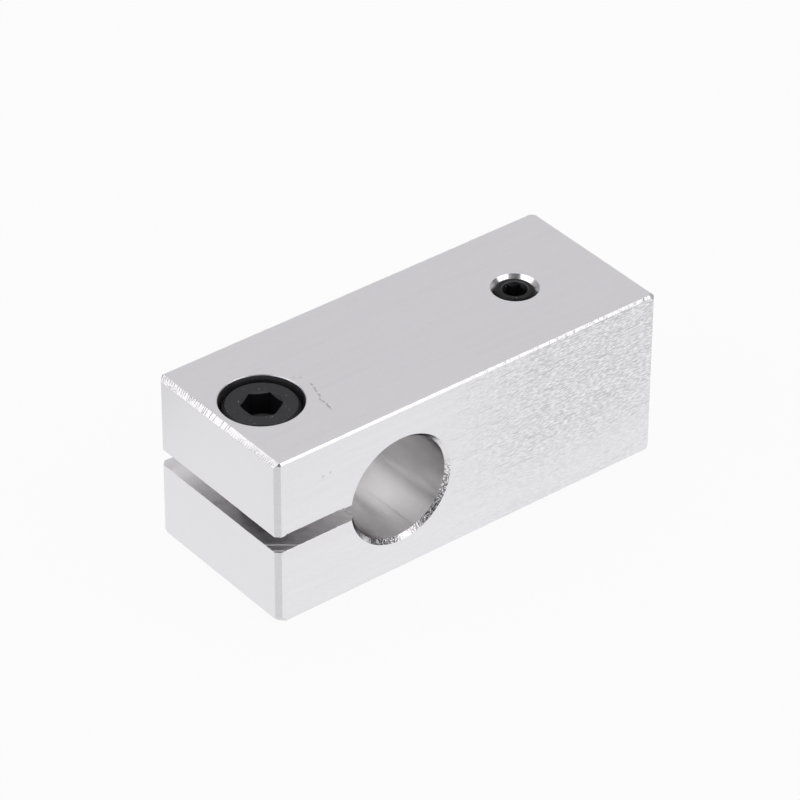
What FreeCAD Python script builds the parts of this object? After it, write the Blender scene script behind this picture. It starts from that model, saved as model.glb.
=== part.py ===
import FreeCAD, Part
import os
import Sketcher

# T-type shaft clamp: a split block of square bar, its clamp screw and its set screw.
# The origin is where the axes of the two shafts cross. X runs to the back end, Z to the screw heads.

# Driving dimensions, in millimetres and degrees
SIZES = {
    "bar_side": 13.4,
    "bar_length": 33.4,
    "long_edge_chamfer": 0.15,
    "end_edge_chamfer": 0.35,
    "cross_shaft": 8.0,
    "cross_clearance": 0.05,
    "cross_from_front": 10.6,
    "cross_rim_chamfer": 0.3,
    "slit_thickness": 1.3,
    "axial_shaft": 8.0,
    "axial_clearance": 0.05,
    "socket_depth": 14.0,
    "socket_drill_angle": 118.0,
    "socket_rim_chamfer": 0.3,
    "clamp_thread": 3.0,
    "clamp_thread_clearance": 0.1,
    "clamp_screw_from_front": 3.8,
    "clamp_screw_length": 8.0,
    "clamp_passing_clearance": 0.4,
    "clamp_exit_chamfer": 0.25,
    "clamp_point_chamfer": 0.35,
    "head_diameter": 5.5,
    "head_height": 3.0,
    "head_edge_chamfer": 0.25,
    "head_recess": 0.3,
    "counterbore_clearance": 0.5,
    "counterbore_rim_chamfer": 0.05,
    "head_hex_flats": 2.5,
    "head_hex_depth": 1.7,
    "head_hex_entry": 0.05,
    "set_thread": 3.0,
    "set_thread_clearance": 0.1,
    "set_screw_from_back": 7.4,
    "set_screw_length": 2.5,
    "set_screw_recess": 0.08,
    "set_hole_chamfer": 0.25,
    "set_top_chamfer": 0.15,
    "set_hex_flats": 1.5,
    "set_hex_depth": 1.2,
    "set_hex_entry": 0.12,
    "set_cup_diameter": 1.4,
    "set_cup_angle": 120.0,
    "hex_drill_angle": 120.0,
    "hex_drill_margin": 0.05,
    "hex_entry_angle": 120.0,
}

FULL_TURN_ANGLE = 360
PARALLEL_RATIO = 0.99
START_INDEX = 1
END_INDEX = 2
CENTRE_INDEX = 3
ORIGIN = (-1, 1)
LEVEL_AXIS_INDEX = -1
UPRIGHT_AXIS_INDEX = -2

doc = FreeCAD.newDocument("shaft_clamp")
sheet = doc.addObject("Spreadsheet::Sheet", "sizes")
for row, (alias, size) in enumerate(SIZES.items(), start=1):
    sheet.set(f"A{row}", alias)
    sheet.set(f"B{row}", str(size))
    sheet.setAlias(f"B{row}", alias)
doc.recompute()


def number(expression):
    return float(sheet.evalExpression(expression))


def new_body(label):
    body = doc.addObject("PartDesign::Body", label)
    body.Label = label
    return body


def new_sketch(body, name, plane, shift):
    # A sketch on one of the body's own planes, moved within it by the expressions in shift
    sketch = body.newObject("Sketcher::SketchObject", name)
    support = next(item for item in body.Origin.OriginFeatures if item.Role == plane)
    sketch.AttachmentSupport = [(support, "")]
    sketch.MapMode = "FlatFace"
    for direction, expression in shift.items():
        sketch.setExpression(f"AttachmentOffset.Base.{direction}", expression)
    return sketch


def pin_point(sketch, line, kind, axis, expression):
    # Sets how far a line's start point is from one axis of the sketch
    if expression == "0":
        sketch.addConstraint(Sketcher.Constraint("PointOnObject", line, START_INDEX, axis))
        return
    rule = Sketcher.Constraint(kind, *ORIGIN, line, START_INDEX, number(expression))
    index = sketch.addConstraint(rule)
    sketch.setExpression(f"Constraints[{index}]", expression)


def outline(body, name, plane, corners, **shift):
    # A closed outline of straight edges whose corners are pairs of expressions
    sketch = new_sketch(body, name, plane, shift)
    points = [FreeCAD.Vector(number(across), number(up), 0) for across, up in corners]
    for start, end in zip(points, points[1:] + points[:1]):
        sketch.addGeometry(Part.LineSegment(start, end), False)
    for line, (across, up) in enumerate(corners):
        before = (line - 1) % len(corners)
        sketch.addConstraint(Sketcher.Constraint("Coincident", before, END_INDEX, line, START_INDEX))
        pin_point(sketch, line, "DistanceX", UPRIGHT_AXIS_INDEX, across)
        pin_point(sketch, line, "DistanceY", LEVEL_AXIS_INDEX, up)
    return sketch


def round_outline(body, name, plane, radius):
    # A circle about the sketch origin
    sketch = new_sketch(body, name, plane, {})
    circle = Part.Circle(FreeCAD.Vector(), FreeCAD.Vector(0, 0, 1), number(radius))
    ring = sketch.addGeometry(circle, False)
    sketch.addConstraint(Sketcher.Constraint("Coincident", ring, CENTRE_INDEX, *ORIGIN))
    index = sketch.addConstraint(Sketcher.Constraint("Radius", ring, number(radius)))
    sketch.setExpression(f"Constraints[{index}]", radius)
    return sketch


def feature(body, kind, name, sketch, **sizes):
    # A feature made from a sketch, with its sizes bound to expressions
    made = body.newObject(f"PartDesign::{kind}", name)
    made.Profile = sketch
    for prop, expression in sizes.items():
        made.setExpression(prop, expression)
    return made


def turned(body, kind, name, sketch, axis):
    # A full turn of a sketch about one of its own axes
    made = feature(body, kind, name, sketch)
    made.ReferenceAxis = (sketch, [axis])
    made.Angle = FULL_TURN_ANGLE
    return made


def cut_through(body, name, sketch):
    # A cut through the whole body, to both sides of the sketch
    made = feature(body, "Pocket", name, sketch)
    made.Type = "ThroughAll"
    made.Midplane = True
    return made


def chamfer(body, name, size, chosen):
    # A chamfer on the edges of the body so far that chosen picks
    doc.recompute()
    base = body.Tip
    edges = [f"Edge{n}" for n, edge in enumerate(base.Shape.Edges, start=1) if chosen(edge)]
    made = body.newObject("PartDesign::Chamfer", name)
    made.Base = (base, edges)
    made.setExpression("Size", size)
    return made


def hexagon(flats):
    # Corners of a hexagon socket, two of them on the sketch's upright axis
    tall = f"{flats} / sqrt(3)"
    return [
        ("0", tall),
        (f"-{flats} / 2", f"{tall} / 2"),
        (f"-{flats} / 2", f"-{tall} / 2"),
        ("0", f"-{tall}"),
        (f"{flats} / 2", f"-{tall} / 2"),
        (f"{flats} / 2", f"{tall} / 2"),
    ]


def hex_socket(body, top, flats, depth, entry):
    # A broached hexagon socket from the height top down, with a drilled bottom and a coned entry
    pocket = outline(body, "socket_outline", "XY_Plane", hexagon(flats), z=top)
    feature(body, "Pocket", "socket", pocket, Length=depth)
    floor = f"{top} - {depth}"
    drill = f"({flats} / 2 - sizes.hex_drill_margin)"
    drilled = [
        ("0", floor),
        (drill, floor),
        ("0", f"{floor} - {drill} / tan(sizes.hex_drill_angle / 2)"),
    ]
    drill_outline = outline(body, "drill_outline", "XZ_Plane", drilled)
    turned(body, "Groove", "socket_bottom", drill_outline, "V_Axis")
    mouth = f"{flats} / sqrt(3) + {entry}"
    cone = [
        ("0", top),
        (mouth, top),
        ("0", f"{top} - ({mouth}) / tan(sizes.hex_entry_angle / 2)"),
    ]
    entry_outline = outline(body, "entry_outline", "XZ_Plane", cone)
    return turned(body, "Groove", "socket_entry", entry_outline, "V_Axis")


# Places and fits that several pieces share
half_side = "sizes.bar_side / 2"
front_end = "-sizes.cross_from_front"
back_end = "(sizes.bar_length - sizes.cross_from_front)"
cross_radius = "(sizes.cross_shaft + sizes.cross_clearance) / 2"
socket_radius = "(sizes.axial_shaft + sizes.axial_clearance) / 2"
half_slit = "sizes.slit_thickness / 2"
clamp_axis = "(sizes.clamp_screw_from_front - sizes.cross_from_front)"
head_seat = "(sizes.bar_side / 2 - sizes.head_recess - sizes.head_height)"
set_axis = "(sizes.bar_length - sizes.cross_from_front - sizes.set_screw_from_back)"
set_top = "(sizes.bar_side / 2 - sizes.set_screw_recess)"

# Clamp body: a length of square aluminium bar, sawn off, chamfered, bored and slit
clamp_body = new_body("clamp_body")
section = [
    (f"-{half_side}", f"-{half_side}"),
    (half_side, f"-{half_side}"),
    (half_side, half_side),
    (f"-{half_side}", half_side),
]
bar_section = outline(clamp_body, "bar_section", "YZ_Plane", section, z=front_end)
feature(clamp_body, "Pad", "bar", bar_section, Length="sizes.bar_length")


def runs_lengthwise(edge):
    return abs(edge.tangentAt(edge.FirstParameter).x) > PARALLEL_RATIO


def is_round(edge):
    return isinstance(edge.Curve, Part.Circle)


chamfer(clamp_body, "end_edges", "sizes.end_edge_chamfer", lambda edge: not runs_lengthwise(edge))
chamfer(clamp_body, "long_edges", "sizes.long_edge_chamfer", runs_lengthwise)

# Cross bore for the first shaft, with broken rims, and the saw slit that opens it to the front end
bore_outline = round_outline(clamp_body, "bore_outline", "XZ_Plane", cross_radius)
cut_through(clamp_body, "cross_bore", bore_outline)
chamfer(clamp_body, "bore_rims", "sizes.cross_rim_chamfer", is_round)
slit = [
    (front_end, f"-{half_slit}"),
    ("0", f"-{half_slit}"),
    ("0", half_slit),
    (front_end, half_slit),
]
cut_through(clamp_body, "slit", outline(clamp_body, "slit_outline", "XZ_Plane", slit))

# Stepped hole for the clamp screw: counterbore and passing hole above the slit, thread below it
counterbore_radius = "(sizes.head_diameter + sizes.counterbore_clearance) / 2"
passing_radius = "(sizes.clamp_thread + sizes.clamp_passing_clearance) / 2"
clamp_thread_radius = "sizes.clamp_thread / 2"
stepped = [
    ("0", half_side),
    (f"{counterbore_radius} + sizes.counterbore_rim_chamfer", half_side),
    (counterbore_radius, f"{half_side} - sizes.counterbore_rim_chamfer"),
    (counterbore_radius, head_seat),
    (passing_radius, head_seat),
    (passing_radius, "0"),
    (clamp_thread_radius, "0"),
    (clamp_thread_radius, f"sizes.clamp_exit_chamfer - {half_side}"),
    (f"{clamp_thread_radius} + sizes.clamp_exit_chamfer", f"-{half_side}"),
    ("0", f"-{half_side}"),
]
stepped_outline = outline(clamp_body, "stepped_outline", "XZ_Plane", stepped, x=clamp_axis)
turned(clamp_body, "Groove", "clamp_screw_hole", stepped_outline, "V_Axis")

# Blind socket in the back end for the second shaft, left with the cone of its drill
socket_floor = f"{back_end} - sizes.socket_depth"
socket = [
    (back_end, "0"),
    (back_end, f"{socket_radius} + sizes.socket_rim_chamfer"),
    (f"{back_end} - sizes.socket_rim_chamfer", socket_radius),
    (socket_floor, socket_radius),
    (f"{socket_floor} - {socket_radius} / tan(sizes.socket_drill_angle / 2)", "0"),
]
socket_outline = outline(clamp_body, "socket_outline", "XZ_Plane", socket)
turned(clamp_body, "Groove", "axial_socket", socket_outline, "H_Axis")

# Tapped hole for the set screw, from the top into the socket
set_thread_radius = "sizes.set_thread / 2"
tapped = [
    ("0", half_side),
    (f"{set_thread_radius} + sizes.set_hole_chamfer", half_side),
    (set_thread_radius, f"{half_side} - sizes.set_hole_chamfer"),
    (set_thread_radius, "0"),
    ("0", "0"),
]
tapped_outline = outline(clamp_body, "tapped_outline", "XZ_Plane", tapped, x=set_axis)
turned(clamp_body, "Groove", "set_screw_hole", tapped_outline, "V_Axis")

# Clamp screw: socket-head cap screw, standing on its seat in the counterbore
clamp_screw = new_body("clamp_screw")
clamp_screw.setExpression("Placement.Base.x", clamp_axis)
clamp_screw.setExpression("Placement.Base.z", head_seat)
head_radius = "sizes.head_diameter / 2"
shank_radius = "(sizes.clamp_thread - sizes.clamp_thread_clearance) / 2"
cap_screw = [
    ("0", "sizes.head_height"),
    (f"{head_radius} - sizes.head_edge_chamfer", "sizes.head_height"),
    (head_radius, "sizes.head_height - sizes.head_edge_chamfer"),
    (head_radius, "0"),
    (shank_radius, "0"),
    (shank_radius, "sizes.clamp_point_chamfer - sizes.clamp_screw_length"),
    (f"{shank_radius} - sizes.clamp_point_chamfer", "-sizes.clamp_screw_length"),
    ("0", "-sizes.clamp_screw_length"),
]
cap_outline = outline(clamp_screw, "cap_outline", "XZ_Plane", cap_screw)
turned(clamp_screw, "Revolution", "cap_screw", cap_outline, "V_Axis")
head_hex = ("sizes.head_hex_flats", "sizes.head_hex_depth", "sizes.head_hex_entry")
hex_socket(clamp_screw, "sizes.head_height", *head_hex)

# Set screw: headless, with a cup point, its top just under the mouth of its hole
set_screw = new_body("set_screw")
set_screw.setExpression("Placement.Base.x", set_axis)
set_screw.setExpression("Placement.Base.z", set_top)
stud_radius = "(sizes.set_thread - sizes.set_thread_clearance) / 2"
cup_radius = "sizes.set_cup_diameter / 2"
stud = [
    ("0", "0"),
    (f"{stud_radius} - sizes.set_top_chamfer", "0"),
    (stud_radius, "-sizes.set_top_chamfer"),
    (stud_radius, f"{stud_radius} - {cup_radius} - sizes.set_screw_length"),
    (cup_radius, "-sizes.set_screw_length"),
    ("0", f"{cup_radius} / tan(sizes.set_cup_angle / 2) - sizes.set_screw_length"),
]
stud_outline = outline(set_screw, "stud_outline", "XZ_Plane", stud)
turned(set_screw, "Revolution", "stud", stud_outline, "V_Axis")
set_hex = ("sizes.set_hex_flats", "sizes.set_hex_depth", "sizes.set_hex_entry")
hex_socket(set_screw, "0", *set_hex)

doc.recompute()
for item in doc.Objects:
    if {"Invalid", "Error"} & set(item.State):
        raise RuntimeError(f"{item.Name} failed")
pieces = [clamp_body, clamp_screw, set_screw]
for piece in pieces:
    if piece.Shape.isNull() or not piece.Shape.isValid() or len(piece.Shape.Solids) != 1:
        raise RuntimeError(f"{piece.Label} is not one sound solid")

os.makedirs("parts", exist_ok=True)
for piece in pieces:
    piece.Shape.exportStep(f"parts/{piece.Label}.step")
    print(piece.Label, round(piece.Shape.Volume, 2), "cubic millimetres")
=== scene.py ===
import math

import bmesh
import bpy
from mathutils import Matrix, Vector, noise


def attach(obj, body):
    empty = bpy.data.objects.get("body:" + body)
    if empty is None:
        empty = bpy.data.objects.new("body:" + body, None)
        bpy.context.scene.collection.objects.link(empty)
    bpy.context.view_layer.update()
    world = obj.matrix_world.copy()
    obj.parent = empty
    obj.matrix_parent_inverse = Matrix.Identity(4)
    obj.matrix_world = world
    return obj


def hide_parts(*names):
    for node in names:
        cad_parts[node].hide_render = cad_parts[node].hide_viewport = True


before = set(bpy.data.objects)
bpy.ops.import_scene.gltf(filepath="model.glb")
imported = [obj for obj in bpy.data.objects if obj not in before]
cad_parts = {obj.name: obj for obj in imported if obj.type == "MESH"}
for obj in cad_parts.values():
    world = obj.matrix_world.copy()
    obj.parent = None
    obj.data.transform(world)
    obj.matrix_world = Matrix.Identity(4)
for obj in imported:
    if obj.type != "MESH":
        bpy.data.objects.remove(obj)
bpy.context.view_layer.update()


# Clamp body, the blank: a length of square aluminium bar, drawn to size and left bare.
# It is sawn off, its ends are milled flat, and the edges of the ends are broken with a file,
# the upper front one by hand and unevenly.

MM = 0.001
WELD = 0.0001 * MM
NEAR = 0.001 * MM
bar_front = -10.6 * MM
bar_back = 22.8 * MM
bar_half = 6.7 * MM
end_chamfer = 0.35 * MM
long_chamfer = 0.15 * MM
corner_cuts = {(-1, 1): 0.178 * MM, (-1, -1): 0.3 * MM, (1, 1): 0.26 * MM, (1, -1): 0.22 * MM}
file_cuts = 300
file_step = 2 * bar_half / file_cuts
file_stroke = 0.22 * MM
file_wander = 0.8 * MM
file_stray = 0.4
file_even = 0.04
file_slant = 0.19
nick_count = 400
nick_waves = (0.6 * MM, 0.25 * MM)
nick_width, nick_width_gain = 0.95, 0.15
nick_depth, nick_depth_gain = 0.08, 0.18


class Wire:
    # One socket of a material's nodes. An expression on wires and numbers adds its Math nodes.

    def __init__(self, tree, socket=None):
        self.tree = tree
        self.socket = socket

    def add(self, kind, settings=None, sockets=None, output=0):
        # Any other node: its settings come first, then the values or links of its sockets
        made = self.tree.nodes.new(kind)
        for name, value in (settings or {}).items():
            setattr(made, name, value)
        for name, value in (sockets or {}).items():
            if isinstance(value, Wire):
                self.tree.links.new(value.socket, made.inputs[name])
            else:
                made.inputs[name].default_value = value
        return Wire(self.tree, made.outputs[output])

    def other(self, name):
        # Another output of the same node
        return Wire(self.tree, self.socket.node.outputs[name])

    def math(self, operation, first, second=0.0):
        return self.add("ShaderNodeMath", {"operation": operation}, {0: first, 1: second})

    def __add__(self, value):
        return self.math("ADD", self, value)

    __radd__ = __add__

    def __sub__(self, value):
        return self.math("SUBTRACT", self, value)

    def __rsub__(self, value):
        return self.math("SUBTRACT", value, self)

    def __mul__(self, value):
        return self.math("MULTIPLY", self, value)

    __rmul__ = __mul__

    def __pow__(self, value):
        return self.math("POWER", self, value)

    def __abs__(self):
        return self.math("ABSOLUTE", self)

    def vector(self, operation, first, second=(0.0, 0.0, 0.0), output=0):
        settings = {"operation": operation}
        return self.add("ShaderNodeVectorMath", settings, {0: first, 1: second}, output)

    def axes(self):
        # The X, Y and Z of a vector
        along = self.add("ShaderNodeSeparateXYZ", None, {0: self})
        return along, along.other("Y"), along.other("Z")

    def rise(self, low, high):
        # Goes smoothly from 0 to 1 as the value passes from low to high
        limits = {"Value": self, "From Min": low, "From Max": high}
        return self.add("ShaderNodeMapRange", {"interpolation_type": "SMOOTHSTEP"}, limits)

    def grain(self, size, detail=2.0, shift=(0, 0, 0)):
        # Even noise with blotches of this size, or of these sizes along X, Y and Z
        sizes = size if isinstance(size, tuple) else (size, size, size)
        density = [1 / length for length in sizes]
        spread = self.add("ShaderNodeMapping", None, {"Vector": self, "Scale": density, "Location": shift})
        return self.add("ShaderNodeTexNoise", None, {"Vector": spread, "Scale": 1.0, "Detail": detail})

    def mix(self, low, high):
        # A colour between two others, by the value
        return self.add("ShaderNodeMix", {"data_type": "RGBA"}, {0: self, 6: low, 7: high}, output=2)


def bare_metal(name, dark, light, depth, marks):
    # Bare metal: marks(place) gives its tone, its roughness and the height of its tool marks
    material = bpy.data.materials.new(name)
    material.use_nodes = True
    shader = material.node_tree.nodes["Principled BSDF"]
    shader.inputs["Metallic"].default_value = 1.0
    place = Wire(material.node_tree).add("ShaderNodeTexCoord", output="Object")
    tone, roughness, height = marks(place)
    bump = place.add("ShaderNodeBump", None, {"Height": height, "Distance": depth, "Strength": 1.0})
    links = {"Base Color": tone.mix((*dark, 1), (*light, 1)), "Roughness": roughness, "Normal": bump}
    for socket, wire in links.items():
        material.node_tree.links.new(wire.socket, shader.inputs[socket])
    return material


outer_skin = (bar_half - 2 * NEAR, bar_half - NEAR)
scratch_start = (-2.95 * MM, -0.2 * MM)
scratch_end = -3.9 * MM
scratch_taper = 0.4 * MM
scratch_lean = 0.23
scratch_bend = 0.9 * MM
scratch_bend_size = (20 * MM, 0.7 * MM, 20 * MM)
scratch_break_size = 0.25 * MM
scratch_edge = (0.02 * MM, 0.11 * MM)


def scratched(place):
    # One crooked scratch across the top, beside the clamp screw
    along, across, up = place.axes()
    start_x, start_y = scratch_start
    bend = place.grain(scratch_bend_size)
    off = along - start_x - scratch_lean * (across - start_y) + scratch_bend * (bend - 0.5)
    line = 1 - abs(off).rise(*scratch_edge)
    begun = across.rise(scratch_end, scratch_end + scratch_taper)
    ended = across.rise(start_y - scratch_taper, start_y)
    broken = place.grain(scratch_break_size).rise(0.3, 0.6)
    return line * begun * (1 - ended) * broken * up.rise(*outer_skin)


streak_size = (14 * MM, 0.5 * MM, 0.5 * MM)
dash_size = (0.4 * MM, 0.085 * MM, 0.085 * MM)
drag_size = (1.4 * MM, 0.09 * MM, 0.09 * MM)
worn_patch_size = (1.6 * MM, 1.1 * MM, 1.1 * MM)
wear_and_shade_along = (1 * MM, 15 * MM)
wear_and_shade_up = (-5 * MM, 0.5 * MM)
handling_marks = (
    (-6.7 * MM, -bar_half, 4.15 * MM),
    (-6.1 * MM, -bar_half, 4.2 * MM),
    (-3.45 * MM, 0.8 * MM, bar_half),
    (-3.1 * MM, 0.5 * MM, bar_half),
)
handling_edge = (0.04 * MM, 0.16 * MM)
handling_share = 0.35
drawn_tone = 0.58
# How much lighter the top face is painted, as painted light
painted_top_light = 0.4
drawn_roughness = 0.36


def drawn_marks(place):
    # Short lines along the bar, clearer on its sides toward the back end and the upper half, over faint
    # wide streaks; where they are clearer the side is darker, partly wear and partly painted shade
    along, across, up = place.axes()
    streaks = place.grain(streak_size, detail=3.0)
    dashes = place.grain(dash_size, detail=1.5).rise(0.3, 0.7)
    drags = place.grain(drag_size, detail=0.0).rise(0.7, 0.8)
    patches = place.grain(worn_patch_size).rise(0.35, 0.65)
    on_side = abs(across).rise(*outer_skin)
    on_top = up.rise(*outer_skin)
    # Painted shade with the wear: the sides turn darker toward the back end and the upper half
    wear_and_shade_share = along.rise(*wear_and_shade_along) * (0.3 + 0.7 * up.rise(*wear_and_shade_up))
    clear = 0.05 + 0.95 * on_side * wear_and_shade_share * (0.7 + 0.3 * patches)
    worn = clear * (dashes - 0.74 - 1.1 * drags) + 0.14 * (streaks - 0.5)
    marked = scratched(place)
    for spot in handling_marks:
        away = place.vector("DISTANCE", place, spot, output="Value")
        marked = marked + handling_share * (1 - away.rise(*handling_edge))
    # Painted light: the top face gets a lighter tone than the sides
    tone = worn + drawn_tone + painted_top_light * on_top - 1.2 * marked
    return tone, drawn_roughness - 0.08 * worn, worn - 0.6 * marked


mill_cloud_size = (1.5 * MM, 2.5 * MM, 1.5 * MM)
mill_grain_size = 0.1 * MM


def milled_marks(place):
    # A faint cloud left by the face mill
    fine = place.grain(mill_grain_size)
    mixed = 0.7 * place.grain(mill_cloud_size) + 0.3 * fine
    return mixed, 0.3 + 0.1 * mixed, fine


file_scratch_size = (0.11 * MM, 0.09 * MM, 0.11 * MM)
file_patch_size = 0.5 * MM
file_tear_size = 0.08 * MM
file_tears_across = (-1 * MM, 4 * MM)


def filed_marks(place):
    # Fine scratches and flats of the file, torn here and there
    scratches = place.grain(file_scratch_size, detail=1.0).rise(0.35, 0.65)
    patches = place.grain(file_patch_size)
    tears = place.grain(file_tear_size, detail=1.0)
    along, across, up = place.axes()
    height = 0.35 * scratches + 2.0 * tears * patches.rise(0.52, 0.64) * across.rise(*file_tears_across)
    return 0.5 * scratches + 0.5 * patches, 0.31 + 0.1 * patches, height


nick_facet_size = 0.1 * MM
nicks_along = (-4 * MM, 14 * MM)


def edge_marks(place):
    # Nicks along the long edges, deeper toward the back end
    along, across, up = place.axes()
    facets = place.grain(nick_facet_size, detail=1.0)
    return facets, 0.16 + 0.2 * facets, facets * (0.2 + 0.8 * along.rise(*nicks_along))


drawn_finish = bare_metal(
    "drawn_aluminium", dark=(0.6, 0.59, 0.61), light=(0.95, 0.94, 0.96), depth=0.003 * MM,
    marks=drawn_marks
)
milled_finish = bare_metal(
    "milled_aluminium", dark=(0.745, 0.735, 0.755), light=(0.795, 0.785, 0.805), depth=0.001 * MM,
    marks=milled_marks
)
filed_finish = bare_metal(
    "filed_aluminium", dark=(0.77, 0.76, 0.78), light=(0.98, 0.965, 0.99), depth=0.012 * MM,
    marks=filed_marks
)
broken_finish = bare_metal(
    "broken_aluminium", dark=(0.6, 0.595, 0.61), light=(0.68, 0.675, 0.69), depth=0.008 * MM,
    marks=filed_marks
)
nicked_finish = bare_metal(
    "nicked_aluminium", dark=(0.7, 0.69, 0.71), light=(0.86, 0.85, 0.87), depth=0.018 * MM,
    marks=edge_marks
)
DRAWN, MILLED, FILED, BROKEN, NICKED = range(5)


def is_lengthwise(edge):
    start, end = edge.verts
    return abs(start.co.x - end.co.x) > bar_half


def slice_off(shape, spot, outward):
    # Cuts a closed shape along a plane, drops what lies outward and closes the cut
    everything = shape.verts[:] + shape.edges[:] + shape.faces[:]
    bmesh.ops.bisect_plane(shape, geom=everything, plane_co=spot, plane_no=outward, clear_outer=True)
    plane = Vector(outward).normalized()
    rim = [edge for edge in shape.edges
           if edge.is_boundary and abs((edge.verts[0].co - Vector(spot)).dot(plane)) < NEAR]
    return bmesh.ops.holes_fill(shape, edges=rim)["faces"]


blank = bmesh.new()
bmesh.ops.create_cube(blank, size=1.0)
bmesh.ops.scale(blank, vec=(bar_back - bar_front, 2 * bar_half, 2 * bar_half), verts=blank.verts)
bmesh.ops.translate(blank, vec=((bar_front + bar_back) / 2, 0, 0), verts=blank.verts)
end_edges = [edge for edge in blank.edges if not is_lengthwise(edge)]
bmesh.ops.bevel(
    blank, geom=end_edges, offset=end_chamfer, affect="EDGES", segments=1, profile=0.5, material=-1
)
long_edges = [edge for edge in blank.edges if is_lengthwise(edge)]
bmesh.ops.bevel(
    blank, geom=long_edges, offset=long_chamfer, affect="EDGES", segments=1, profile=0.5, material=-1
)
blank.normal_update()
for face in blank.faces:
    # A face of the bar lies square to an axis, and a chamfer leans between two of them
    lean = abs(face.normal.x)
    by_hand = face.normal.x < 0 and face.normal.z > 0.5
    if max(abs(side) for side in face.normal) > 0.99:
        face.material_index = MILLED if lean > 0.9 else DRAWN
    elif lean < 0.1:
        face.material_index = NICKED
    else:
        face.material_index = FILED if by_hand else BROKEN
nick_edges = [edge for edge in blank.edges if is_lengthwise(edge)]
stroke_edges = [edge for edge in blank.edges
                if not is_lengthwise(edge) and edge.calc_length() > bar_half]
bmesh.ops.subdivide_edges(blank, edges=stroke_edges, cuts=file_cuts)
nicked = bmesh.ops.subdivide_edges(blank, edges=nick_edges, cuts=nick_count)
nicked_verts = {item for item in nicked["geom_inner"] if isinstance(item, bmesh.types.BMVert)}


def pull_in(place, limit, share):
    # Changes the distance from a coordinate to its limit by a share
    return limit - (limit - place) * share


for vert in blank.verts:
    end = bar_front if vert.co.x < 0 else bar_back
    side, up = (math.copysign(bar_half, part) for part in vert.co.yz)
    beside = abs(side - vert.co.y) < end_chamfer + NEAR
    above = abs(up - vert.co.z) < end_chamfer + NEAR
    if vert in nicked_verts:
        worn = (vert.co.x - bar_front) / (bar_back - bar_front)
        share = nick_width + nick_width_gain * worn
        depth = nick_depth + nick_depth_gain * worn
        share += depth * sum(noise.noise(vert.co / wave) for wave in nick_waves)
        vert.co.y = pull_in(vert.co.y, side, share)
        vert.co.z = pull_in(vert.co.z, up, share)
    elif beside != above:
        by_hand = vert.co.x < 0 and above and vert.co.z > 0
        share = 1 + file_even * noise.noise(vert.co / file_wander)
        if by_hand:
            # Each stroke leaves a slanting flat that ends in a short step to the next one
            stray = file_stray * noise.noise(vert.co.yyy / file_wander)
            stroke = (vert.co.y / file_stroke + stray) % 1
            share += file_slant * (0.5 - stroke)
            vert.co.y += file_step * (stroke - 0.5)
        vert.co.x = pull_in(vert.co.x, end, share)
        if above:
            vert.co.z = pull_in(vert.co.z, up, share)
        else:
            vert.co.y = pull_in(vert.co.y, side, share)
for end, outward in ((bar_front, -1), (bar_back, 1)):
    for side in (-1, 1):
        for up in (-1, 1):
            cut = corner_cuts[outward, up]
            corner = (end - outward * cut, side * (bar_half - cut), up * (bar_half - cut))
            for face in slice_off(blank, corner, (outward, side, up)):
                face.material_index = BROKEN
bmesh.ops.recalc_face_normals(blank, faces=blank.faces)


def piece_of(shape, name, *finishes):
    # An object from a finished shape, which is freed
    mesh = bpy.data.meshes.new(name)
    shape.to_mesh(mesh)
    shape.free()
    for finish in finishes:
        mesh.materials.append(finish)
    made = bpy.data.objects.new(name, mesh)
    bpy.context.scene.collection.objects.link(made)
    return made


block = piece_of(blank, "block", drawn_finish, milled_finish, filed_finish, broken_finish, nicked_finish)


# Clamp body, the machining: the cross bore and the saw slit that turns the front end into two jaws,
# the stepped hole of the clamp screw, the blind socket for the second shaft and the set screw's hole.
# Every cutter leaves its own finish on the metal, and both screw holes are tapped.

cut_clear = 1.0 * MM
bore_radius = 4.025 * MM
bore_steps = 160
bore_rim = 0.3 * MM
chatter_marks = 150
chatter_depth = 0.012 * MM
chatter_wave = 1.2 * MM
chatter_least = 0.4
slit_half = 0.65 * MM
saw_wander = 0.025 * MM
saw_waves = (1.1 * MM, 0.35 * MM)
saw_wave_share = 0.6
saw_sides_apart = 50 * MM
saw_cuts = 70
lower_lip = 0.055 * MM
lower_lip_steady, lower_lip_swing = 0.3, 1.25
upper_lip = 0.09 * MM
upper_lip_steady, upper_lip_swing = 0.9, 0.35
lip_cuts = 60
lip_wave = 0.3 * MM
lip_least = 0.1
socket_floor = 8.8 * MM
drill_half_angle = math.radians(59)
socket_point = socket_floor - bore_radius / math.tan(drill_half_angle)
clamp_axis = -6.8 * MM
counterbore_radius = 3.0 * MM
counterbore_rim = 0.05 * MM
head_seat = 3.4 * MM
passing_radius = 1.7 * MM
exit_rim = 0.25 * MM
set_axis = 15.4 * MM
set_rim = 0.25 * MM
hole_steps = 96
rim_steps = 90
pitch = 0.5 * MM
thread_steps = 48
tapped_crest = 1.5 * MM
tapped_root = 1.25 * MM
ABOUT_X = Matrix.Rotation(math.radians(90), 4, "Y")
ABOUT_Y = Matrix.Rotation(math.radians(-90), 4, "X")
ALONG_X, ALONG_Y, ALONG_Z = range(3)
ring_width = 0.09 * MM
ring_length = 40 * MM
bore_patch_size = 1.6 * MM
bore_painted_shade_up = (0.3 * MM, 2.6 * MM)
bore_painted_light_up = (-4 * MM, -1.5 * MM)
bore_painted_light_across = (2 * MM, 6 * MM)


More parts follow.
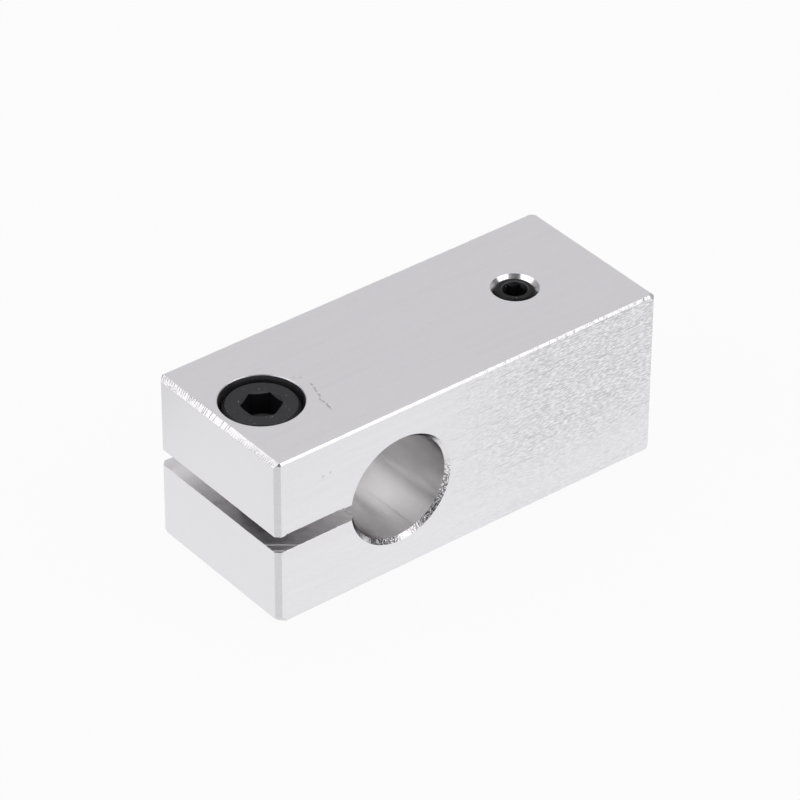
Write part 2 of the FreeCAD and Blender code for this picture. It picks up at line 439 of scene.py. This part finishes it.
def bored_marks_and_painted_shade(axis, smoothest):
    # Fine rings left by the cutter of a hole along this axis, with painted shade darkest at middle height
    # and painted light low down near the middle
    ring_size = tuple(ring_width if axis == each else ring_length for each in range(3))

    def marks(place):
        rings = place.grain(ring_size, detail=4.0)
        patches = place.grain(bore_patch_size)
        along, across, up = place.axes()
        painted_shade = 1 - abs(up).rise(*bore_painted_shade_up)
        low = 1 - up.rise(*bore_painted_light_up)
        inside = 1 - abs(across).rise(*bore_painted_light_across)
        # Painted shade at middle height and painted light low down near the middle, over the cutter's
        # rings and patches
        tone = 0.55 - 0.45 * painted_shade + 0.5 * low * inside + 0.3 * (rings - 0.5) + 0.25 * (patches - 0.5)
        return tone, smoothest + 0.14 * patches, rings

    return marks


torn_facet_size = 0.13 * MM
painted_glint_size = 0.1 * MM
torn_along = (-2.6 * MM, -1.6 * MM)
torn_up = (-1 * MM, 1.5 * MM)
clean_start = (-0.6 * MM, 0.2 * MM)
clean_end = (1.7 * MM, 2.5 * MM)


def torn_marks_and_painted_glints(place):
    # Small torn facets where a countersink chattered, with a clean stretch at the bottom; over the torn
    # stretch the tone is painted dark with pale specks, as painted shade and glints
    along, across, up = place.axes()
    facets = place.grain(torn_facet_size, detail=0.5)
    painted_glints = place.grain(painted_glint_size, detail=0.5).rise(0.42, 0.58)
    clean = along.rise(*clean_start) * (1 - along.rise(*clean_end))
    low = 1 - up.rise(*torn_up)
    torn = along.rise(*torn_along) * low * (1 - 0.75 * clean)
    # Painted shade and glints: the torn stretch is darkened, with specks painted pale
    return 0.8 + torn * (0.9 * painted_glints - 0.8), 0.1 + 0.16 * facets, facets * (0.15 + 0.85 * torn)


saw_spindle = (-19.3 * MM, -17.7 * MM, 0.0)
saw_arcs = 2600.0
saw_scores = (14.5 * MM, 15.16 * MM)
saw_score_edge = (0.03 * MM, 0.1 * MM)


def saw_marks(place):
    # Arcs of the slitting saw about the place where its spindle stood, two of them deeply scored
    arm = place.vector("SUBTRACT", place, saw_spindle)
    level = place.vector("MULTIPLY", arm, (1.0, 1.0, 0.0))
    reach = place.vector("LENGTH", level, output="Value")
    spread = {"W": reach, "Scale": saw_arcs, "Detail": 3.0}
    arcs = place.add("ShaderNodeTexNoise", {"noise_dimensions": "1D"}, spread)
    scored = sum(1 - abs(reach - score).rise(*saw_score_edge) for score in saw_scores)
    return 0.7 * arcs + 0.9 * scored, 0.25 + 0.2 * arcs + 0.3 * scored, arcs + 1.5 * scored


def turned(profile, steps):
    # A round shape about Z, from the radius and height of each corner of its profile
    shape = bmesh.new()
    corners = [shape.verts.new((radius, 0, height)) for radius, height in profile]
    lines = [shape.edges.new(pair) for pair in zip(corners, corners[1:])]
    bmesh.ops.spin(
        shape, geom=corners + lines, cent=(0, 0, 0), axis=(0, 0, 1), angle=math.tau, steps=steps,
        use_merge=True
    )
    bmesh.ops.remove_doubles(shape, verts=shape.verts, dist=WELD)
    bmesh.ops.recalc_face_normals(shape, faces=shape.faces)
    return shape


def cutter(radius, low, high, steps):
    return turned([(0, low), (radius, low), (radius, high), (0, high)], steps)


def countersink(radius, mouth, outward, steps, slope=1.0):
    # A cone that opens outward and has this radius at its mouth
    beyond = mouth + outward * cut_clear
    wide = radius + cut_clear / slope
    return turned([(0, mouth - outward * radius * slope), (wide, beyond), (0, beyond)], steps)


def thread(crest, root, low, high):
    # A rod with a right-hand screw thread, cut off square at both heights
    shape = bmesh.new()
    # The radius at each share of the pitch
    ridge = [(root, 0.0), (root, 0.2), (crest, 0.5), (crest, 0.7), (root, 1.0)]
    first = math.floor(low / pitch) - 1
    turns = math.ceil(high / pitch) + 1 - first
    corners = [shape.verts.new((radius, 0, (first + rise) * pitch)) for radius, rise in ridge]
    lines = [shape.edges.new(pair) for pair in zip(corners, corners[1:])]
    bmesh.ops.spin(
        shape, geom=corners + lines, cent=(0, 0, 0), axis=(0, 0, 1), dvec=(0, 0, pitch / thread_steps),
        angle=math.tau * turns, steps=thread_steps * turns
    )
    bmesh.ops.remove_doubles(shape, verts=shape.verts, dist=WELD)
    for height, outward in ((low, -1), (high, 1)):
        slice_off(shape, (0, 0, height), (0, 0, outward))
    bmesh.ops.recalc_face_normals(shape, faces=shape.faces)
    return shape


def combine(piece, shape, finish, operation, place=None):
    # Cuts a shape from a piece, joins it on, or keeps only what both share. Faces made by the
    # shape get its finish.
    if place:
        bmesh.ops.transform(shape, matrix=place, verts=shape.verts)
    tool = piece_of(shape, "tool", finish)
    step = piece.modifiers.new("step", "BOOLEAN")
    step.operation = operation
    step.solver = "EXACT"
    step.material_mode = "TRANSFER"
    step.object = tool
    made = piece.evaluated_get(bpy.context.evaluated_depsgraph_get())
    before, after = piece.data, bpy.data.meshes.new_from_object(made)
    piece.modifiers.clear()
    piece.data = after
    bpy.data.meshes.remove(before)
    bpy.data.meshes.remove(tool.data)


bored_finish = bare_metal(
    "bored_aluminium", dark=(0.6, 0.592, 0.594), light=(0.96, 0.947, 0.95), depth=0.002 * MM,
    marks=bored_marks_and_painted_shade(ALONG_Y, smoothest=0.17)
)
socket_finish = bare_metal(
    "drilled_aluminium", dark=(0.6, 0.59, 0.61), light=(0.76, 0.75, 0.77), depth=0.006 * MM,
    marks=bored_marks_and_painted_shade(ALONG_X, smoothest=0.2)
)
screw_hole_finish = bare_metal(
    "tapped_aluminium", dark=(0.6, 0.59, 0.61), light=(0.76, 0.75, 0.77), depth=0.006 * MM,
    marks=bored_marks_and_painted_shade(ALONG_Z, smoothest=0.28)
)
# Its dark tone carries the painted shade of the torn stretch
torn_finish = bare_metal(
    "torn_aluminium", dark=(0.3, 0.295, 0.3), light=(0.85, 0.84, 0.855), depth=0.07 * MM,
    marks=torn_marks_and_painted_glints
)
countersunk_finish = bare_metal(
    "countersunk_aluminium", dark=(0.6, 0.59, 0.61), light=(0.92, 0.91, 0.93), depth=0.01 * MM,
    marks=torn_marks_and_painted_glints
)
sawn_finish = bare_metal(
    "sawn_aluminium", dark=(0.88, 0.87, 0.88), light=(0.99, 0.98, 0.985), depth=0.012 * MM,
    marks=saw_marks
)

over_clamp = Matrix.Translation((clamp_axis, 0, 0))
over_set = Matrix.Translation((set_axis, 0, 0))
for shape, place, finish in (
    (cutter(bore_radius, -bar_half - cut_clear, bar_half + cut_clear, bore_steps), ABOUT_Y, bored_finish),
    (turned([(0, -slit_half / 2), (passing_radius, -slit_half / 2), (passing_radius, head_seat),
             (counterbore_radius, head_seat), (counterbore_radius, bar_half - counterbore_rim),
             (counterbore_radius + 2 * counterbore_rim, bar_half + counterbore_rim),
             (0, bar_half + cut_clear)], hole_steps), over_clamp, screw_hole_finish),
    (thread(tapped_crest, tapped_root, -bar_half - cut_clear, slit_half / 2),
     over_clamp, screw_hole_finish),
    (countersink(tapped_crest + exit_rim, -bar_half, -1, rim_steps), over_clamp, filed_finish),
    (turned([(0, socket_point), (bore_radius, socket_floor), (bore_radius, bar_back - bore_rim),
             (bore_radius + 2 * bore_rim, bar_back + bore_rim), (0, bar_back + cut_clear)], bore_steps),
     ABOUT_X, socket_finish),
    (thread(tapped_crest, tapped_root, 0, bar_half + cut_clear), over_set, screw_hole_finish),
    (countersink(tapped_crest + set_rim, bar_half, 1, rim_steps), over_set, countersunk_finish),
):
    combine(block, shape, finish, "DIFFERENCE", place)

for outward in (-1, 1):
    rim_tool = countersink(bore_radius + bore_rim, outward * bar_half, outward, 2 * chatter_marks)
    for vert in rim_tool.verts:
        turn = round(math.atan2(vert.co.y, vert.co.x) / math.tau * 2 * chatter_marks)
        if turn % 2 and vert.co.xy.length > NEAR:
            shake = chatter_depth * max(0.0, chatter_least + noise.noise(vert.co / chatter_wave))
            vert.co.z += outward * shake
    combine(block, rim_tool, torn_finish, "DIFFERENCE", ABOUT_Y)

saw = bmesh.new()
bmesh.ops.create_cube(saw, size=1.0)
saw_reach = cut_clear - bar_front
bmesh.ops.scale(saw, vec=(saw_reach, 2 * (bar_half + cut_clear), 2 * slit_half), verts=saw.verts)
bmesh.ops.translate(saw, vec=(-saw_reach / 2, 0, 0), verts=saw.verts)
saw_edges = [edge for edge in saw.edges if abs(edge.verts[0].co.z - edge.verts[1].co.z) < NEAR]
bmesh.ops.subdivide_edges(saw, edges=saw_edges, cuts=saw_cuts, use_grid_fill=True)
for vert in saw.verts:
    spot = Vector((vert.co.x, vert.co.y, math.copysign(saw_sides_apart, vert.co.z)))
    vert.co.z += saw_wander * sum(saw_wave_share * noise.noise(spot / wave) for wave in saw_waves)
combine(block, saw, sawn_finish, "DIFFERENCE")

lip_start = bar_front + 2 * end_chamfer
lip_end = -bore_radius - 3 * bore_rim
for side in (-1, 1):
    for up, radius, steady, swing in (
        (-1, lower_lip, lower_lip_steady, lower_lip_swing),
        (1, upper_lip, upper_lip_steady, upper_lip_swing),
    ):
        lip = bmesh.new()
        bmesh.ops.create_cone(
            lip, cap_ends=True, segments=4, radius1=radius, radius2=radius, depth=lip_end - lip_start
        )
        lip_edges = [edge for edge in lip.edges if edge.calc_length() > bar_half / 2]
        bmesh.ops.subdivide_edges(lip, edges=lip_edges, cuts=lip_cuts)
        for vert in lip.verts:
            vert.co.xy *= max(lip_least, steady + swing * noise.noise(vert.co.zzz / lip_wave))
        along_lip = Matrix.Translation(((lip_start + lip_end) / 2, side * bar_half, up * slit_half))
        combine(block, lip, filed_finish, "DIFFERENCE", along_lip @ ABOUT_X)


def smooth(piece, angle):
    # Smooth faces, with sharp edges where the surface turns by more than the angle
    for face in piece.data.polygons:
        face.use_smooth = True
    piece.data.set_sharp_from_angle(angle=math.radians(angle))


smooth(block, angle=28)
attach(block, "block")
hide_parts("clamp_body")


# Clamp screw: an M3 hexagon-socket cap screw of steel, blackened and slightly oiled.
# Its head is cold-formed with a knurled side, its thread is rolled, and it stands on the floor
# of the counterbore and pulls the lower jaw up.

head_radius = 2.75 * MM
head_top = 6.4 * MM
head_edge = 0.25 * MM
head_steps = 96
knurl_teeth = 32
knurl_depth = 0.06 * MM
screw_crest = 1.45 * MM
screw_root = 1.2 * MM
clamp_tip = -4.6 * MM
clamp_point = 0.35 * MM
head_hex = 2.58 * MM
head_hex_floor = 4.7 * MM
head_hex_entry = 0.02 * MM
head_hex_slope = math.tan(math.radians(20))
hex_drill_margin = 0.05 * MM
hex_drill_half_angle = math.radians(60)
steel_cloud_size = 0.5 * MM
steel_grain_size = 0.07 * MM
steel_grain_depth = 0.003 * MM
dust_size = 0.13 * MM
dust_shift = (3, 1, 5)
dust_colour = (0.5, 0.5, 0.5, 1)


def black_oxide(name, low, high, shine):
    # Blackened steel between two tones, with a faint cloud, and specks of dust on the clamp screw's head
    material = bpy.data.materials.new(name)
    material.use_nodes = True
    shader = material.node_tree.nodes["Principled BSDF"]
    shader.inputs["Specular IOR Level"].default_value = shine
    place = Wire(material.node_tree).add("ShaderNodeTexCoord", output="Object")
    along, across, up = place.axes()
    cloud = place.grain(steel_cloud_size)
    fine = place.grain(steel_grain_size)
    tone = 0.5 * cloud + 0.4 * fine
    on_head = up.rise(head_top - 2 * NEAR, head_top - NEAR)
    dust = place.grain(dust_size, detail=0.0, shift=dust_shift).rise(0.8, 0.84) * on_head
    relief = {"Height": fine, "Distance": steel_grain_depth, "Strength": 1.0}
    bump = place.add("ShaderNodeBump", None, relief)
    dusty = dust.mix(tone.mix((*low, 1), (*high, 1)), dust_colour)
    links = {"Base Color": dusty, "Roughness": 0.32 + 0.16 * cloud, "Normal": bump}
    for socket, wire in links.items():
        material.node_tree.links.new(wire.socket, shader.inputs[socket])
    return material


def hexagon(flats, low, high):
    # A hexagon bar with two corners on the Y axis
    shape = bmesh.new()
    bmesh.ops.create_cone(
        shape, cap_ends=True, segments=6, radius1=flats / math.sqrt(3), radius2=flats / math.sqrt(3),
        depth=high - low, matrix=Matrix.Translation((0, 0, (low + high) / 2))
    )
    return shape


def hex_drill(flats, floor, top):
    # The drilled hole under a hexagon socket, with its pointed floor
    radius = flats / 2 - hex_drill_margin
    point = floor - radius / math.tan(hex_drill_half_angle)
    return turned([(0, point), (radius, floor), (radius, top), (0, top)], hole_steps)


black_finish = black_oxide(
    "black_oxide_steel", low=(0.004, 0.004, 0.005), high=(0.016, 0.016, 0.02), shine=0.5
)
head = turned([
    (0, head_seat), (head_radius - head_edge / 2, head_seat), (head_radius, head_seat + head_edge / 2),
    (head_radius, head_top - 2 * head_edge), (head_radius, head_top - head_edge),
    (head_radius - head_edge, head_top), (0, head_top),
], head_steps)
for vert in head.verts:
    turn = round(math.atan2(vert.co.y, vert.co.x) / math.tau * head_steps)
    if turn % (head_steps // knurl_teeth) == 0 and vert.co.xy.length > head_radius - NEAR:
        vert.co.xy *= 1 - knurl_depth / head_radius
clamp_screw = piece_of(head, "cap_screw", black_finish)
shank = piece_of(thread(screw_crest, screw_root, clamp_tip, head_seat + pitch), "shank", black_finish)
point_shape = turned([
    (0, clamp_tip - cut_clear), (screw_crest - clamp_point - cut_clear, clamp_tip - cut_clear),
    (screw_crest, clamp_tip + clamp_point), (screw_crest + NEAR, head_top), (0, head_top),
], hole_steps)
combine(shank, point_shape, black_finish, "INTERSECT")
joined = bmesh.new()
joined.from_mesh(shank.data)
bpy.data.meshes.remove(shank.data)
combine(clamp_screw, joined, black_finish, "UNION")
for shape in (
    hexagon(head_hex, head_hex_floor, head_top + cut_clear),
    hex_drill(head_hex, head_hex_floor, head_top),
    countersink(head_hex / math.sqrt(3) + head_hex_entry, head_top, 1, hole_steps, head_hex_slope),
):
    combine(clamp_screw, shape, black_finish, "DIFFERENCE")
clamp_screw.data.transform(over_clamp)
smooth(clamp_screw, angle=15)
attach(clamp_screw, "clamp_screw")
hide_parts("clamp_screw")


# Set screw: a headless M3 screw of blackened steel with a hexagon socket and a cup point.
# It is screwed down into the tapped hole at the back, to press on the shaft in the socket.

set_top = 6.62 * MM
set_tip = 4.12 * MM
set_edge = 0.15 * MM
set_hex = 1.5 * MM
set_hex_floor = 5.42 * MM
set_hex_entry = 0.12 * MM
set_mouth = set_hex / math.sqrt(3) + set_hex_entry
set_ring = 0.03 * MM
set_ring_slope = 1.7
cup_radius = 0.7 * MM
cup_half_angle = math.radians(60)
cup_depth = cup_radius / math.tan(cup_half_angle)

dull_finish = black_oxide(
    "dull_black_steel", low=(0.006, 0.006, 0.007), high=(0.014, 0.014, 0.016), shine=0.22
)
# A paler black on the outer ring of the set screw's socket entry, which shows as a thin bright ring
pale_ring_finish = black_oxide(
    "pale_black_steel", low=(0.06, 0.06, 0.065), high=(0.16, 0.16, 0.17), shine=0.22
)
set_screw = piece_of(thread(screw_crest, screw_root, set_tip, set_top), "grub_screw", dull_finish)
ends = turned([
    (0, set_tip + cup_depth), (cup_radius, set_tip), (screw_crest, set_tip + screw_crest - cup_radius),
    (screw_crest + NEAR, set_top - set_edge), (screw_crest - set_edge, set_top), (0, set_top),
], hole_steps)
combine(set_screw, ends, dull_finish, "INTERSECT")
for shape, finish in (
    (hexagon(set_hex, set_hex_floor, set_top + cut_clear), dull_finish),
    (hex_drill(set_hex, set_hex_floor, set_top), dull_finish),
    (countersink(set_mouth, set_top, 1, hole_steps), pale_ring_finish),
    (countersink(set_mouth - set_ring, set_top, 1, rim_steps, set_ring_slope), dull_finish),
):
    combine(set_screw, shape, finish, "DIFFERENCE")
set_screw.data.transform(over_set)
smooth(set_screw, angle=24)
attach(set_screw, "set_screw")
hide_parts("set_screw")


# Studio, the table: white to the camera and in the metal, with a faint shadow of the part.
# What the metal mirrors of it fades with the distance from the part and behind it.

scene = bpy.context.scene
scene.view_settings.view_transform = "Standard"
floor_half = 3.0
floor_drop = 0.02 * MM
table_white = (0.92, 0.92, 0.93, 1)
shadow_share = 0.08
pool_near = 8 * MM
pool_far = 130 * MM
pool_fade = 0.34
rear_near = 3 * MM
rear_far = 20 * MM
rear_fade = 0.45
front_slant = 1.26
block_middle = (bar_front + bar_back) / 2
block_half = (bar_back - bar_front) / 2

floor_shape = bmesh.new()
bmesh.ops.create_grid(floor_shape, x_segments=8, y_segments=8, size=floor_half)
bmesh.ops.translate(floor_shape, vec=(0, 0, -bar_half - floor_drop), verts=floor_shape.verts)
table_finish = bpy.data.materials.new("white_table")
table_finish.use_nodes = True
table_nodes = table_finish.node_tree
paint = table_nodes.nodes["Principled BSDF"]
paint.inputs["Base Color"].default_value = table_white
paint.inputs["Roughness"].default_value = 0.9
paint.inputs["Specular IOR Level"].default_value = 0.0
ray = Wire(table_nodes).add("ShaderNodeLightPath", output="Is Camera Ray")
mirrored = ray.math("MAXIMUM", ray.other("Is Glossy Ray"), ray.other("Is Transmission Ray"))
along, across, up = ray.add("ShaderNodeTexCoord", output="Object").axes()
off_x = ray.math("MAXIMUM", abs(along - block_middle) - block_half, 0.0)
off_y = ray.math("MAXIMUM", abs(across) - bar_half, 0.0)
away_from_block = (off_x ** 2 + off_y ** 2) ** 0.5
behind = across.rise(bar_half + rear_near, bar_half + rear_far)
beside_front = across - bar_half + front_slant * (along - bar_front)
rear = rear_fade * behind * beside_front.rise(0, 2 * rear_near)
faded = ray.math("MAXIMUM", pool_fade * away_from_block.rise(pool_near, pool_far), rear)
pool = 1 - faded * mirrored
glow = ray.add("ShaderNodeEmission", None, {"Color": (1, 1, 1, 1), "Strength": pool})
white = ray * (1 - shadow_share) + mirrored
painted = Wire(table_nodes, paint.outputs[0])
mixed = ray.add("ShaderNodeMixShader", None, {0: white, 1: painted, 2: glow})
below = ray.add("ShaderNodeNewGeometry", output="Backfacing")
clear = ray.add("ShaderNodeBsdfTransparent")
seen = ray.add("ShaderNodeMixShader", None, {0: below, 1: mixed, 2: clear})
table_nodes.links.new(seen.socket, table_nodes.nodes["Material Output"].inputs["Surface"])
floor = piece_of(floor_shape, "table", table_finish)


# Studio, the room: soft light from three large softboxes, walls paler at middle height,
# and the dark side where the camera stands. A long lens looks on from the front left.

sky_low = 0.45
sky_middle = 0.68
sky_high = 0.38
sky_tint = (0.99, 0.98, 1.0, 1)
camera_side = (-0.682, -0.731, 0.0)
camera_right = (0.731, -0.682, 0.0)
camera_shade = 0.85
right_shade = 0.8
left_shade = 0.3
pale_start = (0.2, 0.56)
pale_end = (0.6, 0.74)
camera_shade_start = (0.45, 0.6)
camera_shade_side = (0.2, 0.36)
right_shade_start = (0.7, 0.85)
left_shade_start = (0.3, 0.6)
world = bpy.data.worlds.new("studio")
world.use_nodes = True
scene.world = world
sky = world.node_tree
sky_ray = Wire(sky).add("ShaderNodeLightPath", output="Is Camera Ray")
facing = sky_ray.add("ShaderNodeTexCoord", output="Generated")
upward = facing.axes()[2]
ahead = facing.vector("DOT_PRODUCT", facing, camera_side, output="Value")
aside = facing.vector("DOT_PRODUCT", facing, camera_right, output="Value")
room = sky_low + (sky_middle - sky_low) * upward.rise(*pale_start)
room = room + (sky_high - sky_middle) * upward.rise(*pale_end)
near_camera = ahead.rise(*camera_shade_start)
room = room * (1 - camera_shade * near_camera * (1 - abs(aside).rise(*camera_shade_side)))
room = room * (1 - right_shade * aside.rise(*right_shade_start))
room = room * (1 - left_shade * (0 - aside).rise(*left_shade_start))
sky_level = sky_ray + (1 - sky_ray) * room
sky.links.new(sky_level.socket, sky.nodes["Background"].inputs["Strength"])
sky.nodes["Background"].inputs["Color"].default_value = sky_tint

subject = Vector((5.801, 0.791, 0.77)) * MM
for name, direction, distance, width, height, roll, glow_level in (
    ("right_softbox", (0.405, -0.623, 0.669), 0.6, 0.42, 0.34, 0, 1.25),
    ("left_softbox", (-0.712, 0.231, 0.663), 0.6, 0.56, 0.25, 24, 1.3),
    ("top_softbox", (0.15, 0.2, 1.0), 0.8, 0.6, 0.6, 0, 1.0),
):
    lamp = bpy.data.lights.new(name, "AREA")
    lamp.shape = "RECTANGLE"
    lamp.size = width
    lamp.size_y = height
    lamp.energy = glow_level * math.pi * width * height
    lamp_object = bpy.data.objects.new(name, lamp)
    away = Vector(direction).normalized()
    lamp_object.location = subject + distance * away
    lean = Matrix.Rotation(math.radians(roll), 3, "Z")
    lamp_object.rotation_euler = (away.to_track_quat("Z", "Y").to_matrix() @ lean).to_euler()
    scene.collection.objects.link(lamp_object)

camera_stand = Vector((-158.684, -205.978, 188.54)) * MM
camera_roll = math.radians(0.316)
lens = bpy.data.cameras.new("camera")
lens.lens = 208.807
lens.sensor_width = 36
lens.clip_start = 0.01
camera = bpy.data.objects.new("camera", lens)
tilt = Matrix.Rotation(camera_roll, 3, "Z")
camera.location = camera_stand
camera.rotation_euler = ((camera_stand - subject).to_track_quat("Z", "Y").to_matrix() @ tilt).to_euler()
scene.collection.objects.link(camera)
scene.camera = camera
